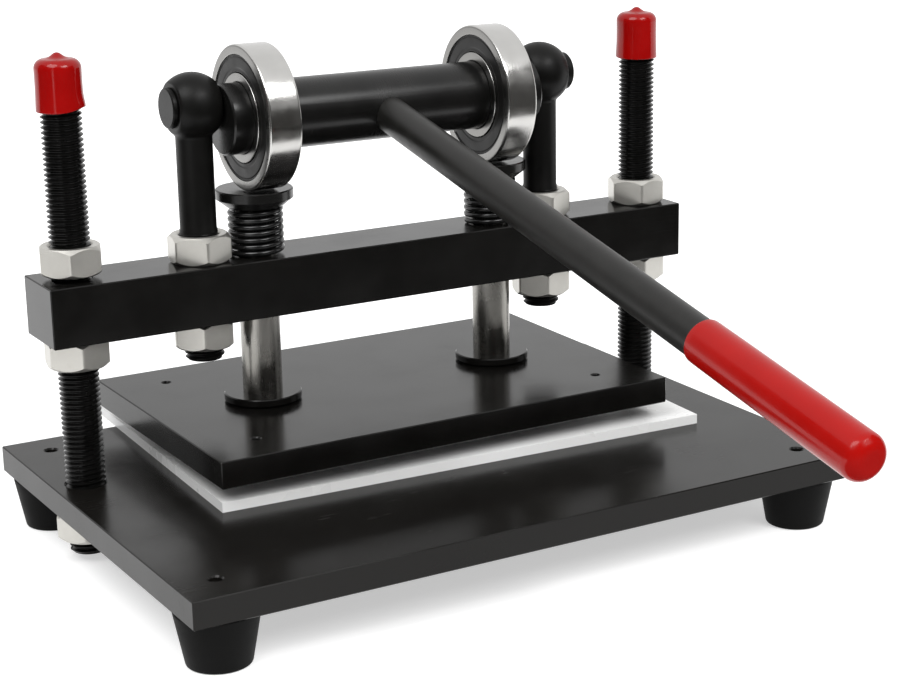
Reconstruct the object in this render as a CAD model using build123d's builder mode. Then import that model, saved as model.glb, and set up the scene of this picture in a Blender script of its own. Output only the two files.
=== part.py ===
from build123d import *

import os
from math import cos, pi, radians, sin, sqrt

# Hand lever press for cutting leather with dies.
#
# A heavy base plate stands on four rubber feet. Two threaded columns carry a crossbeam, and
# the beam carries two ball-headed eyebolts. An eccentric shaft turns in the ball heads, and
# two ball bearings on it roll on the heads of two plunger rods. The rods run down through the
# beam to the pressure plate, and springs under their heads lift the plate again.
#
# Frame: X runs along the beam, the lever points to -Y, Z is up. The table is z = 0 and the
# origin is under the middle of the whole press. Places in x and y are given from the middle
# of the base plate, and base_y moves them to the frame.

# Base, feet and cutting board
foot_height = 25.6
foot_top_radius = 19.6
foot_bottom_radius = 14.8
foot_recess_radius = 7.0
foot_recess_height = 13.5
foot_rim_rounding = 0.8
foot_screw_radius = 3.0
foot_x, foot_y = 160.8, 104.5
base_width, base_depth, base_thickness = 360.0, 249.0, 13.4
board_width, board_depth, board_thickness = 268.6, 180.0, 5.0
board_corner_x, board_corner_y = -124.8, -30.4
board_turn = -2.35

# Pressure plate with its tapped corner holes
working_gap = 8.4
plate_width, plate_depth, plate_thickness = 253.6, 161.2, 13.7
plate_y = 44.2
plate_hole_x, plate_hole_y = 98.0, 56.0
plate_hole_radius = 2.1

# Crossbeam, columns and nuts
line_y = 46.5
beam_length, beam_depth, beam_height = 361.4, 36.9, 29.3
beam_lift = 74.2
column_places = (-163.4, 163.4)
thread_radius = 9.8
thread_end_chamfer = 1.4
column_tail, column_lift = 34.6, 206.5
nut_flats, nut_height = 28.4, 14.0
nut_corner_rounding = 0.9
nut_chamfer_angle = 41.0
loose_nut_gap = 2.5
running_clearance = 0.08

# Caps on the columns
cap_lift, cap_height = 184.0, 27.5
cap_radius, cap_lip_radius = 11.1, 11.5
cap_nipple_radius, cap_nipple_height = 3.4, 1.9
cap_shoulder = 3.7

# Eyebolts
eyebolt_places = (-97.7, 100.5)
shank_radius = 9.0
ball_radius = 16.6
ball_half_width = 11.0
neck_radius = 3.0
eyebolt_tail = 20.5

# Eccentric shaft, its pins and the lever
throw = 9.0
throw_angle = 53.13
pin_lift = 180.4
pin_radius = 7.0
pin_head_radius = 9.9
pin_head_thicknesses = (2.4, 4.9)
shaft_radius = 17.5
shaft_ends = (-85.7, 88.5)
lever_angle = 11.9
lever_radius = 9.0
lever_spigot_radius = 7.0
grip_radius = 10.35
grip_start, grip_end = 287.4, 395.8
grip_end_rounding = 6.5

# Ball bearings, 35 x 72 x 17
bearing_places = (-67.2, 65.2)
bearing_width = 17.0
bearing_radius = 36.0
inner_ring_radius = 22.0
outer_ring_bore = 30.2
seal_radius = 31.1
seal_thickness, seal_recess = 1.2, 0.5
ball_circle = 26.75
bearing_ball_radius = 5.55
bearing_ball_count = 9
race_clearance = 0.05

# Plungers and their springs
rod_places = (-67.1, 68.7)
rod_radius = 10.0
collar_radius, collar_thickness = 19.6, 4.6
head_radius, head_thickness = 19.4, 4.8
head_cone_radius, head_cone_height = 14.2, 4.2
head_gap = 0.3
wire_radius = 1.4
spring_radius = 12.6
spring_turns = 6.5
spring_start_angle = 165.0
spring_seat_gap = 0.06

# Heights above the table
base_top = foot_height + base_thickness
board_top = base_top + board_thickness
plate_bottom = board_top + working_gap
plate_top = plate_bottom + plate_thickness
column_bottom, column_top = base_top - column_tail, base_top + column_lift
beam_bottom = base_top + beam_lift
beam_top = beam_bottom + beam_height
pin_z = base_top + pin_lift
cam_z = pin_z - throw * sin(radians(throw_angle))
head_top = cam_z - bearing_radius - head_gap
head_bottom = head_top - head_thickness - head_cone_height

# The press reaches from the rounded tip of the grip to the back corner of the board, and the
# origin is halfway between them.
cam_y = line_y - throw * cos(radians(throw_angle))
lever_cos, lever_sin = cos(radians(lever_angle)), sin(radians(lever_angle))
grip_reach = (
    (grip_end - grip_end_rounding) * lever_cos
    + (grip_radius - grip_end_rounding) * lever_sin
    + grip_end_rounding
)
front_reach = cam_y - grip_reach
back_reach = board_corner_y + board_depth * cos(radians(board_turn))
base_y = -(front_reach + back_reach) / 2

sides = (("left", -1), ("right", 1))
os.makedirs("parts", exist_ok=True)


def level(x, y, z):
    """Horizontal plane at a place given from the middle of the base plate."""
    return Plane((x, base_y + y, z))


def upright(x, y, z):
    """Plane for the half outline of a turned piece: local x along X, local y up."""
    return Plane((x, base_y + y, z), x_dir=(1, 0, 0), z_dir=(0, -1, 0))


def across(x, y, z):
    """Plane square to X, facing +X."""
    return Plane((x, base_y + y, z), x_dir=(0, 1, 0), z_dir=(1, 0, 0))


def along_beam(places):
    """The same places as points on a plane across the beam."""
    return [(x, 0) for x in places]


def corner_places(x, y):
    """The four corners of a rectangle about the middle of a plane."""
    return [(sx * x, sy * y) for sx in (-1, 1) for sy in (-1, 1)]


# Base plate: ground steel plate with column holes and a tapped hole over each foot
with BuildPart() as base_plate:
    with BuildSketch(level(0, 0, foot_height)):
        Rectangle(base_width, base_depth)
    extrude(amount=base_thickness)
    chamfer(base_plate.edges(), 0.5)
    with Locations(level(0, line_y, base_top)):
        with Locations(*along_beam(column_places)):
            Hole(thread_radius)
    with Locations(level(0, 0, base_top)):
        with Locations(*corner_places(foot_x, foot_y)):
            Hole(foot_screw_radius + 0.1)
    chamfer(base_plate.faces().sort_by(Axis.Z)[-1].edges().filter_by(GeomType.CIRCLE), 0.8)
base_plate.part.label = "base_plate"
export_step(base_plate.part, "parts/base_plate.step")

# Rubber feet: tapered buffers with a recess for the screw head
for end, sy in (("front", -1), ("back", 1)):
    for side, sx in sides:
        spot = upright(sx * foot_x, sy * foot_y, 0)
        with BuildPart() as foot:
            with BuildSketch(spot):
                with BuildLine():
                    Polyline(
                        (foot_recess_radius, 0),
                        (foot_bottom_radius, 0),
                        (foot_top_radius, foot_height),
                        (foot_screw_radius + 0.2, foot_height),
                        (foot_screw_radius + 0.2, foot_recess_height),
                        (foot_recess_radius, foot_recess_height),
                        close=True,
                    )
                make_face()
            revolve(axis=Axis(spot.origin, (0, 0, 1)))
            bottom_rim = foot.edges().group_by(Axis.Z)[0].sort_by(SortBy.RADIUS)[-1]
            fillet(bottom_rim, foot_rim_rounding)
        foot.part.label = f"foot_{end}_{side}"
        export_step(foot.part, f"parts/foot_{end}_{side}.step")

# Foot screws and washers: a pan head in each recess, pulling the foot up to the plate
screw_head_radius, screw_head_height = 5.0, 3.5
washer_radius, washer_thickness = 6.7, 1.5
screw_head_top = foot_recess_height - washer_thickness
screw_tip = base_top - 4.5
with BuildPart() as foot_screws:
    for sx, sy in corner_places(foot_x, foot_y):
        with BuildSketch(level(sx, sy, screw_head_top - screw_head_height)):
            Circle(screw_head_radius)
        extrude(amount=screw_head_height)
        with BuildSketch(level(sx, sy, screw_head_top)):
            Circle(foot_screw_radius)
        extrude(amount=screw_tip - screw_head_top)
foot_screws.part.label = "foot_screws"
export_step(foot_screws.part, "parts/foot_screws.step")

with BuildPart() as foot_washers:
    with BuildSketch(level(0, 0, screw_head_top)):
        with Locations(*corner_places(foot_x, foot_y)):
            Circle(washer_radius)
            Circle(foot_screw_radius + 0.2, mode=Mode.SUBTRACT)
    extrude(amount=washer_thickness)
foot_washers.part.label = "foot_washers"
export_step(foot_washers.part, "parts/foot_washers.step")

# Columns: threaded rods through the base plate, with chamfered ends
for (side, sx), x in zip(sides, column_places):
    with BuildPart() as column:
        with BuildSketch(level(x, line_y, column_bottom)):
            Circle(thread_radius)
        extrude(amount=column_top - column_bottom)
        chamfer(column.edges().filter_by(GeomType.CIRCLE), thread_end_chamfer)
    column.part.label = f"column_{side}"
    export_step(column.part, f"parts/column_{side}.step")

# Hexagon nut with rounded corners, turned off at both ends and at both mouths of its thread
nut_cone_start = nut_flats / 2 - 0.4
nut_cone_reach = 2.7
nut_cone_height = nut_cone_reach * sin(radians(nut_chamfer_angle)) / cos(radians(nut_chamfer_angle))
with BuildPart() as nut:
    with BuildSketch():
        RegularPolygon(nut_flats / 2, 6, major_radius=False)
    extrude(amount=nut_height)
    fillet(nut.edges().filter_by(Axis.Z), nut_corner_rounding)
    with BuildSketch(Plane.XZ):
        with BuildLine():
            Polyline(
                (0, 0),
                (nut_cone_start, 0),
                (nut_cone_start + nut_cone_reach, nut_cone_height),
                (nut_cone_start + nut_cone_reach, nut_height - nut_cone_height),
                (nut_cone_start, nut_height),
                (0, nut_height),
                close=True,
            )
        make_face()
    revolve(axis=Axis.Z, mode=Mode.INTERSECT)
    with BuildSketch():
        Circle(thread_radius + running_clearance)
    extrude(amount=nut_height, mode=Mode.SUBTRACT)
    thread_mouths = nut.edges().filter_by(GeomType.CIRCLE).sort_by(SortBy.RADIUS)[0:2]
    chamfer(thread_mouths, 0.9)

# Nut pairs: name, places along the beam, undersides, and how each nut happens to be turned.
# The upper nut of the left column is not run all the way down.
base_nut_z = foot_height - nut_height
lower_nut_z = beam_bottom - nut_height
nut_pairs = (
    ("column_base_nuts", column_places, (base_nut_z, base_nut_z), (2, 41)),
    ("column_lower_nuts", column_places, (lower_nut_z, lower_nut_z), (21, 15)),
    ("column_upper_nuts", column_places, (beam_top + loose_nut_gap, beam_top), (11, 8)),
    ("eyebolt_lower_nuts", eyebolt_places, (lower_nut_z, lower_nut_z), (9, 13)),
    ("eyebolt_upper_nuts", eyebolt_places, (beam_top, beam_top), (22, 24)),
)
for name, places, undersides, turns in nut_pairs:
    with BuildPart() as nuts:
        for x, underside, turn in zip(places, undersides, turns):
            with Locations(level(x, line_y, underside)):
                add(nut.part, rotation=(0, 0, turn))
    nuts.part.label = name
    export_step(nuts.part, f"parts/{name}.step")

# Caps: dipped vinyl sleeves with a domed end and a small nipple, pushed on the columns
cap_bottom = base_top + cap_lift
cap_dome = cap_height - cap_nipple_height
cap_shoulder_middle = cap_shoulder * sin(radians(45))
for (side, sx), x in zip(sides, column_places):
    spot = upright(x, line_y, cap_bottom)
    with BuildPart() as cap:
        with BuildSketch(spot):
            with BuildLine():
                Polyline(
                    (thread_radius, 0),
                    (cap_lip_radius, 0),
                    (cap_lip_radius, 1.5),
                    (cap_radius, 4.5),
                    (cap_radius, cap_dome - 0.8 - cap_shoulder),
                )
                ThreePointArc(
                    (cap_radius, cap_dome - 0.8 - cap_shoulder),
                    (
                        cap_radius - cap_shoulder + cap_shoulder_middle,
                        cap_dome - 0.8 - cap_shoulder + cap_shoulder_middle,
                    ),
                    (cap_radius - cap_shoulder, cap_dome - 0.8),
                )
                Polyline(
                    (cap_radius - cap_shoulder, cap_dome - 0.8),
                    (cap_nipple_radius, cap_dome),
                    (1.3, cap_height),
                    (0, cap_height),
                )
                Polyline((0, cap_height), (0, column_top - cap_bottom))
                Polyline((0, column_top - cap_bottom), (thread_radius, column_top - cap_bottom))
                Line((thread_radius, column_top - cap_bottom), (thread_radius, 0))
            make_face()
        revolve(axis=Axis(spot.origin, (0, 0, 1)))
    cap.part.label = f"cap_{side}"
    export_step(cap.part, f"parts/cap_{side}.step")

# Crossbeam: square-edged steel bar bored for columns, eyebolts and plunger rods
with BuildPart() as crossbeam:
    with BuildSketch(level(0, line_y, beam_bottom)):
        Rectangle(beam_length, beam_depth)
    extrude(amount=beam_height)
    chamfer(crossbeam.edges(), 0.5)
    with Locations(level(0, line_y, beam_top)):
        with Locations(*along_beam(column_places)):
            Hole(thread_radius + running_clearance)
        with Locations(*along_beam(eyebolt_places)):
            Hole(thread_radius)
        with Locations(*along_beam(rod_places)):
            Hole(rod_radius + running_clearance)
crossbeam.part.label = "crossbeam"
export_step(crossbeam.part, "parts/crossbeam.step")

# Eyebolts: threaded tail, plain shank and a ball head bored for the eccentric pin
thread_stop = beam_top + nut_height + 2.0
neck_z = pin_z - sqrt((ball_radius + neck_radius) ** 2 - (shank_radius + neck_radius) ** 2)
neck_reach = ball_radius / (ball_radius + neck_radius)
neck_top = (
    (shank_radius + neck_radius) * neck_reach,
    pin_z - (pin_z - neck_z) * neck_reach,
)
neck_middle_angle = radians(152)
neck_middle = (
    shank_radius + neck_radius + neck_radius * cos(neck_middle_angle),
    neck_z + neck_radius * sin(neck_middle_angle),
)
tail_end = beam_bottom - eyebolt_tail
for (side, sx), x in zip(sides, eyebolt_places):
    spot = upright(x, line_y, 0)
    with BuildPart() as eyebolt:
        with BuildSketch(spot):
            with BuildLine():
                Polyline(
                    (0, pin_z + ball_radius),
                    (0, tail_end),
                    (thread_radius - thread_end_chamfer, tail_end),
                    (thread_radius, tail_end + thread_end_chamfer),
                    (thread_radius, thread_stop),
                    (shank_radius, thread_stop + 0.7),
                    (shank_radius, neck_z),
                )
                ThreePointArc((shank_radius, neck_z), neck_middle, neck_top)
                ThreePointArc(neck_top, (ball_radius, pin_z), (0, pin_z + ball_radius))
            make_face()
        revolve(axis=Axis(spot.origin, (0, 0, 1)))
        for face_x in (-1, 1):
            with BuildSketch(across(x + face_x * ball_half_width, line_y, pin_z)):
                Circle(ball_radius)
            extrude(amount=face_x * ball_radius, mode=Mode.SUBTRACT)
        with BuildSketch(across(x, line_y, pin_z)):
            Circle(pin_radius + running_clearance)
        extrude(amount=ball_radius, both=True, mode=Mode.SUBTRACT)
    eyebolt.part.label = f"eyebolt_{side}"
    export_step(eyebolt.part, f"parts/eyebolt_{side}.step")

# Eccentric shaft: one straight bar with a pin bore off its middle in each end, and a seat for
# the lever in its side
lever_seat = sqrt(shaft_radius**2 - lever_radius**2) - 0.3
lever_hole_end = -6.0
lever_plane = Plane(
    (0, base_y + cam_y, cam_z),
    x_dir=(1, 0, 0),
    z_dir=(0, -lever_cos, -lever_sin),
)
pin_depth = 20.0
with BuildPart() as cam_shaft:
    with BuildSketch(across(shaft_ends[0], cam_y, cam_z)):
        Circle(shaft_radius)
    extrude(amount=shaft_ends[1] - shaft_ends[0])
    chamfer(cam_shaft.edges().filter_by(GeomType.CIRCLE), 0.8)
    for (side, sx), end in zip(sides, shaft_ends):
        with BuildSketch(across(end - sx * pin_depth, line_y, pin_z)):
            Circle(pin_radius)
        extrude(amount=sx * pin_depth, mode=Mode.SUBTRACT)
    with BuildSketch(lever_plane.offset(lever_seat)):
        Circle(lever_radius + 0.02)
    extrude(amount=shaft_radius, mode=Mode.SUBTRACT)
    with BuildSketch(lever_plane.offset(lever_hole_end)):
        Circle(lever_spigot_radius)
    extrude(amount=lever_seat - lever_hole_end, mode=Mode.SUBTRACT)
cam_shaft.part.label = "cam_shaft"
export_step(cam_shaft.part, "parts/cam_shaft.step")

# Eccentric pins: headed pins pressed into the shaft through the ball heads
pin_head_offset = ball_half_width + 0.3
for (side, sx), x, end, head in zip(sides, eyebolt_places, shaft_ends, pin_head_thicknesses):
    pin_start, head_inside = end - sx * pin_depth, x + sx * pin_head_offset
    with BuildPart() as cam_pin:
        with BuildSketch(across(pin_start, line_y, pin_z)):
            Circle(pin_radius)
        extrude(amount=head_inside - pin_start)
        with BuildSketch(across(head_inside, line_y, pin_z)):
            Circle(pin_head_radius)
        extrude(amount=sx * head)
        outer_rim = cam_pin.faces().sort_by(Axis.X)[-1 if sx > 0 else 0].edges()
        chamfer(outer_rim, 0.6)
    cam_pin.part.label = f"cam_pin_{side}"
    export_step(cam_pin.part, f"parts/cam_pin_{side}.step")

# Lever: round bar with a spigot in the shaft and a plain end inside the grip
lever_end = grip_end - 4.0
with BuildPart() as lever:
    with BuildSketch(lever_plane.offset(lever_hole_end + 0.5)):
        Circle(lever_spigot_radius)
    extrude(amount=lever_seat - lever_hole_end - 0.5)
    with BuildSketch(lever_plane.offset(lever_seat)):
        Circle(lever_radius)
    extrude(amount=lever_end - lever_seat)
lever.part.label = "lever"
export_step(lever.part, "parts/lever.step")

# Grip: soft sleeve with a closed, rounded end
with BuildPart() as lever_grip:
    with BuildSketch(lever_plane.offset(grip_start)):
        Circle(grip_radius)
    extrude(amount=grip_end - grip_start)
    outward = Axis((0, 0, 0), lever_plane.z_dir)
    fillet(lever_grip.edges().sort_by(outward)[-1], grip_end_rounding)
    fillet(lever_grip.edges().sort_by(outward)[0], 0.6)
    with BuildSketch(lever_plane.offset(grip_start)):
        Circle(lever_radius)
    extrude(amount=lever_end - grip_start, mode=Mode.SUBTRACT)
lever_grip.part.label = "lever_grip"
export_step(lever_grip.part, "parts/lever_grip.step")

# Ball bearings: rings with a ball groove, two rubber seals, and balls in a cage
half_width = bearing_width / 2
groove_radius = bearing_ball_radius + race_clearance
seal_seat = seal_thickness + seal_recess
seal_outer = half_width - seal_recess
cage_half_width, cage_band, cage_sheet, cage_bar = 6.4, 4.6, 0.6, 3.0
for (side, sx), x in zip(sides, bearing_places):
    centre = (x, cam_y, cam_z)
    spin_axis = Axis(upright(*centre).origin, (1, 0, 0))
    with BuildPart() as inner_ring:
        with BuildSketch(upright(*centre)):
            with Locations((0, (shaft_radius + inner_ring_radius) / 2)):
                Rectangle(bearing_width, inner_ring_radius - shaft_radius)
            with Locations((0, ball_circle)):
                Circle(groove_radius, mode=Mode.SUBTRACT)
        revolve(axis=spin_axis)
        for end in (0, -1):
            chamfer(inner_ring.faces().sort_by(Axis.X)[end].inner_wires()[0].edges(), 0.7)
    inner_ring.part.label = f"bearing_{side}_inner_ring"
    export_step(inner_ring.part, f"parts/bearing_{side}_inner_ring.step")

    with BuildPart() as outer_ring:
        with BuildSketch(upright(*centre)):
            with BuildLine():
                Polyline(
                    (-half_width, seal_radius + 0.05),
                    (-half_width, bearing_radius),
                    (half_width, bearing_radius),
                    (half_width, seal_radius + 0.05),
                    (half_width - seal_seat, seal_radius + 0.05),
                    (half_width - seal_seat, outer_ring_bore),
                    (seal_seat - half_width, outer_ring_bore),
                    (seal_seat - half_width, seal_radius + 0.05),
                    close=True,
                )
            make_face()
            with Locations((0, ball_circle)):
                Circle(groove_radius, mode=Mode.SUBTRACT)
        revolve(axis=spin_axis)
        for end in (0, -1):
            fillet(outer_ring.faces().sort_by(Axis.X)[end].outer_wire().edges(), 1.2)
    outer_ring.part.label = f"bearing_{side}_outer_ring"
    export_step(outer_ring.part, f"parts/bearing_{side}_outer_ring.step")

    for place, face_x in (("outboard", sx), ("inboard", -sx)):
        with BuildPart() as seal:
            with BuildSketch(across(x + face_x * seal_outer, cam_y, cam_z)):
                Circle(seal_radius)
                Circle(inner_ring_radius + 0.3, mode=Mode.SUBTRACT)
            extrude(amount=-face_x * seal_thickness)
        seal.part.label = f"bearing_{side}_seal_{place}"
        export_step(seal.part, f"parts/bearing_{side}_seal_{place}.step")

    with BuildPart(across(*centre)) as balls:
        with PolarLocations(ball_circle, bearing_ball_count):
            Sphere(bearing_ball_radius)
    balls.part.label = f"bearing_{side}_balls"
    export_step(balls.part, f"parts/bearing_{side}_balls.step")

    with BuildPart() as cage:
        with BuildSketch(across(*centre)):
            with PolarLocations(ball_circle, bearing_ball_count, 180 / bearing_ball_count):
                Rectangle(cage_bar, cage_bar)
        extrude(amount=cage_half_width, both=True)
        for face_x in (-1, 1):
            with BuildSketch(across(x + face_x * cage_half_width, cam_y, cam_z)):
                Circle(ball_circle + cage_band / 2)
                Circle(ball_circle - cage_band / 2, mode=Mode.SUBTRACT)
            extrude(amount=-face_x * cage_sheet)
    cage.part.label = f"bearing_{side}_cage"
    export_step(cage.part, f"parts/bearing_{side}_cage.step")

# Pressure plate: ground steel plate with tapped corner holes and countersunk screw holes
rod_screw_radius = 4.0
rod_screw_head = 8.0
with BuildPart() as pressure_plate:
    with BuildSketch(level(0, plate_y, plate_bottom)):
        Rectangle(plate_width, plate_depth)
    extrude(amount=plate_thickness)
    chamfer(pressure_plate.edges(), 0.5)
    with Locations(level(0, plate_y, plate_top)):
        with Locations(*corner_places(plate_hole_x, plate_hole_y)):
            Hole(plate_hole_radius)
    chamfer(pressure_plate.faces().sort_by(Axis.Z)[-1].edges().filter_by(GeomType.CIRCLE), 0.7)
    for x in rod_places:
        under = Plane((x, base_y + line_y, plate_bottom), z_dir=(0, 0, -1))
        with Locations(under):
            CounterSinkHole(rod_screw_radius, rod_screw_head)
pressure_plate.part.label = "pressure_plate"
export_step(pressure_plate.part, "parts/pressure_plate.step")

# Plungers: ground rod in a collar on the plate, with a mushroom head above the beam
rod_top = head_top - 2.6
rod_screw_depth = 16.0
for (side, sx), x in zip(sides, rod_places):
    with BuildPart() as rod:
        with BuildSketch(level(x, line_y, plate_top)):
            Circle(rod_radius)
            Circle(rod_screw_radius, mode=Mode.SUBTRACT)
        extrude(amount=rod_screw_depth)
        with BuildSketch(level(x, line_y, plate_top + rod_screw_depth)):
            Circle(rod_radius)
        extrude(amount=rod_top - plate_top - rod_screw_depth)
    rod.part.label = f"plunger_rod_{side}"
    export_step(rod.part, f"parts/plunger_rod_{side}.step")

    with BuildPart() as collar:
        with BuildSketch(level(x, line_y, plate_top)):
            Circle(collar_radius)
        extrude(amount=collar_thickness)
        chamfer(collar.edges().group_by(Axis.Z)[0], 1.2)
        chamfer(collar.edges().group_by(Axis.Z)[-1], 0.5)
        with BuildSketch(level(x, line_y, plate_top)):
            Circle(rod_radius)
        extrude(amount=collar_thickness, mode=Mode.SUBTRACT)
    collar.part.label = f"plunger_collar_{side}"
    export_step(collar.part, f"parts/plunger_collar_{side}.step")

    spot = upright(x, line_y, 0)
    with BuildPart() as head:
        with BuildSketch(spot):
            with BuildLine():
                Polyline(
                    (0, head_top),
                    (head_radius - 0.6, head_top),
                    (head_radius, head_top - 0.6),
                    (head_radius, head_bottom + head_cone_height),
                    (head_cone_radius, head_bottom),
                    (rod_radius, head_bottom),
                    (rod_radius, rod_top),
                    (0, rod_top),
                    close=True,
                )
            make_face()
        revolve(axis=Axis(spot.origin, (0, 0, 1)))
    head.part.label = f"plunger_head_{side}"
    export_step(head.part, f"parts/plunger_head_{side}.step")

# Plunger screws: countersunk socket screws up through the plate into the rods
socket_radius = 2.5
with BuildPart() as plunger_screws:
    for x in rod_places:
        spot = upright(x, line_y, plate_bottom)
        with BuildSketch(spot):
            with BuildLine():
                Polyline(
                    (0, 0.2),
                    (rod_screw_head - 0.2, 0.2),
                    (rod_screw_radius, rod_screw_head - rod_screw_radius),
                    (rod_screw_radius, plate_thickness + rod_screw_depth - 1.0),
                    (0, plate_thickness + rod_screw_depth - 1.0),
                    close=True,
                )
            make_face()
        revolve(axis=Axis(spot.origin, (0, 0, 1)))
        with BuildSketch(level(x, line_y, plate_bottom)):
            RegularPolygon(socket_radius, 6, major_radius=False)
        extrude(amount=3.0, mode=Mode.SUBTRACT)
plunger_screws.part.label = "plunger_screws"
export_step(plunger_screws.part, "parts/plunger_screws.step")

# Springs: round wire wound between the beam and the plunger head. The wire follows a helix,
# and each quarter turn of it is two arcs that meet smoothly.
coil_bottom = beam_top + wire_radius + spring_seat_gap
coil_top = head_bottom - wire_radius - spring_seat_gap
coil_rise = coil_top - coil_bottom
pitch = coil_rise / spring_turns


def coil_point(x, turns):
    """Point on the middle of the wire after so many turns from the bottom."""
    angle = radians(spring_start_angle) + 2 * pi * turns
    return Vector(
        x + spring_radius * cos(angle),
        base_y + line_y + spring_radius * sin(angle),
        coil_bottom + pitch * turns,
    )


def coil_tangent(turns):
    """Direction of the wire after so many turns."""
    angle = radians(spring_start_angle) + 2 * pi * turns
    rise = pitch / (2 * pi)
    return Vector(-spring_radius * sin(angle), spring_radius * cos(angle), rise).normalized()


def arc_joint(start, start_tangent, end, end_tangent):
    """Meeting point of two arcs between two points of a curve, and the direction there."""
    chord = end - start
    tangents = start_tangent + end_tangent
    spread = 2 * (1 - start_tangent.dot(end_tangent))
    along = chord.dot(tangents)
    reach = (sqrt(along**2 + spread * chord.dot(chord)) - along) / spread
    first = start + start_tangent * reach
    second = end - end_tangent * reach
    return (first + second) * 0.5, (second - first).normalized()


quarter_turns = round(spring_turns * 4)
for (side, sx), x in zip(sides, rod_places):
    with BuildPart() as spring:
        with BuildLine() as wire_path:
            for quarter in range(quarter_turns):
                start = coil_point(x, quarter / 4)
                end = coil_point(x, (quarter + 1) / 4)
                leaving = coil_tangent(quarter / 4)
                middle, direction = arc_joint(start, leaving, end, coil_tangent((quarter + 1) / 4))
                TangentArc(start, middle, tangent=leaving)
                TangentArc(middle, end, tangent=direction)
        with BuildSketch(Plane(coil_point(x, 0), z_dir=coil_tangent(0))):
            Circle(wire_radius)
        sweep()
    spring.part.label = f"spring_{side}"
    export_step(spring.part, f"parts/spring_{side}.step")

# The least gap between neighbouring turns, measured on points of the wire's middle
samples = 720
points = [wire_path.wire().position_at(i / samples) for i in range(samples + 1)]
half_turn = round(samples / spring_turns / 2)
nearest = min(
    (points[i] - points[j]).length
    for i in range(0, samples + 1, 4)
    for j in range(i + half_turn, samples + 1)
)
print(f"spring: {spring_turns} turns, pitch {pitch:.2f}, least gap {nearest - 2 * wire_radius:.2f}")

# Cutting board: loose plastic plate that the die cuts against, lying a little askew
board_plane = Plane(
    (board_corner_x, base_y + board_corner_y, base_top),
    x_dir=(cos(radians(board_turn)), sin(radians(board_turn)), 0),
)
with BuildPart() as cutting_board:
    with BuildSketch(board_plane):
        Rectangle(board_width, board_depth, align=(Align.MIN, Align.MIN))
    extrude(amount=board_thickness)
cutting_board.part.label = "cutting_board"
export_step(cutting_board.part, "parts/cutting_board.step")

print(f"base plate middle at y {base_y:.3f}, column line at y {base_y + line_y:.3f}")
print(f"shaft at y {base_y + cam_y:.3f}, z {cam_z:.3f}; pins at z {pin_z:.3f}")
print(f"base top {base_top:.2f}, board top {board_top:.2f}, plate {plate_bottom:.2f} to {plate_top:.2f}")
print(f"beam {beam_bottom:.2f} to {beam_top:.2f}, heads {head_bottom:.2f} to {head_top:.2f}")
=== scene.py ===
from math import cos, radians, sin

import bmesh
import bpy
import numpy as np
from mathutils import Euler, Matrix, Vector


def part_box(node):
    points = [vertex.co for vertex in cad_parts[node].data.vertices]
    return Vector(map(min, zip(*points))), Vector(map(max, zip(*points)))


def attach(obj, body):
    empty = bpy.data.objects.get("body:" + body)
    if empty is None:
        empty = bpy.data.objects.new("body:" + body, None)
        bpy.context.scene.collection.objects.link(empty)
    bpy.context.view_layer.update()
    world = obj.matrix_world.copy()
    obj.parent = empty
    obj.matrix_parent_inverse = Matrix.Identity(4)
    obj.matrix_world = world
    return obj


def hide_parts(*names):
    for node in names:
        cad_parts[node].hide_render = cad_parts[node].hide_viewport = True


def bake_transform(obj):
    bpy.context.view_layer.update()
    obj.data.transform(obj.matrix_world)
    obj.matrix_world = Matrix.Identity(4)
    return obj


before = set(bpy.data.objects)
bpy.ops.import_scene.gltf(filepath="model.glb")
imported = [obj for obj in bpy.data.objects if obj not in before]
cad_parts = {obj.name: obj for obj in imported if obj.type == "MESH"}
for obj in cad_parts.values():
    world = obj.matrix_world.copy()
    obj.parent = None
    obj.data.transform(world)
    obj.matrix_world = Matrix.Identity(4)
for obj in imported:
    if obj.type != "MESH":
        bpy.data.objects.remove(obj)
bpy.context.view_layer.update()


# Base plate
# Ground steel plate that the whole press stands on. It is blackened and oiled, so it mirrors
# what stands on it, and it has a column hole near each end and a tapped hole over each foot.
def shader_node(tree, kind, inputs=None, **settings):
    """One node of a tree, with plain numbers or links on its inputs."""
    node = tree.nodes.new("ShaderNode" + kind)
    for key, value in settings.items():
        setattr(node, key, value)
    for key, value in (inputs or {}).items():
        if isinstance(value, bpy.types.NodeSocket):
            tree.links.new(value, node.inputs[key])
        else:
            node.inputs[key].default_value = value
    return node


def finish_material(name, group, values, relief, **shader):
    """A finish: the group's colour, roughness and height on a shader with its own plain numbers."""
    material = bpy.data.materials.new(name)
    material.use_nodes = True
    tree = material.node_tree
    body = tree.nodes["Principled BSDF"]
    for key, value in shader.items():
        body.inputs[key.replace("_", " ")].default_value = value
    place = shader_node(tree, "TexCoord").outputs["Object"]
    surface = shader_node(tree, "Group", node_tree=group)
    tree.links.new(place, surface.inputs["Place"])
    for key, value in values.items():
        surface.inputs[key].default_value = value
    tree.links.new(surface.outputs["Colour"], body.inputs["Base Color"])
    tree.links.new(surface.outputs["Roughness"], body.inputs["Roughness"])
    bump = shader_node(tree, "Bump", {"Height": surface.outputs["Height"], "Distance": 0.0001})
    bump.inputs["Strength"].default_value = relief
    tree.links.new(bump.outputs["Normal"], body.inputs["Normal"])
    return material


def group_with(name, inputs, outputs):
    """An empty shader group with named inputs and outputs."""
    group = bpy.data.node_groups.new(name, "ShaderNodeTree")
    for socket, kind, value in inputs:
        made = group.interface.new_socket(socket, in_out="INPUT", socket_type="NodeSocket" + kind)
        if value is not None:
            made.default_value = value
    for socket, kind in outputs:
        group.interface.new_socket(socket, in_out="OUTPUT", socket_type="NodeSocket" + kind)
    return group, group.nodes.new("NodeGroupInput").outputs, group.nodes.new("NodeGroupOutput").inputs


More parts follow.
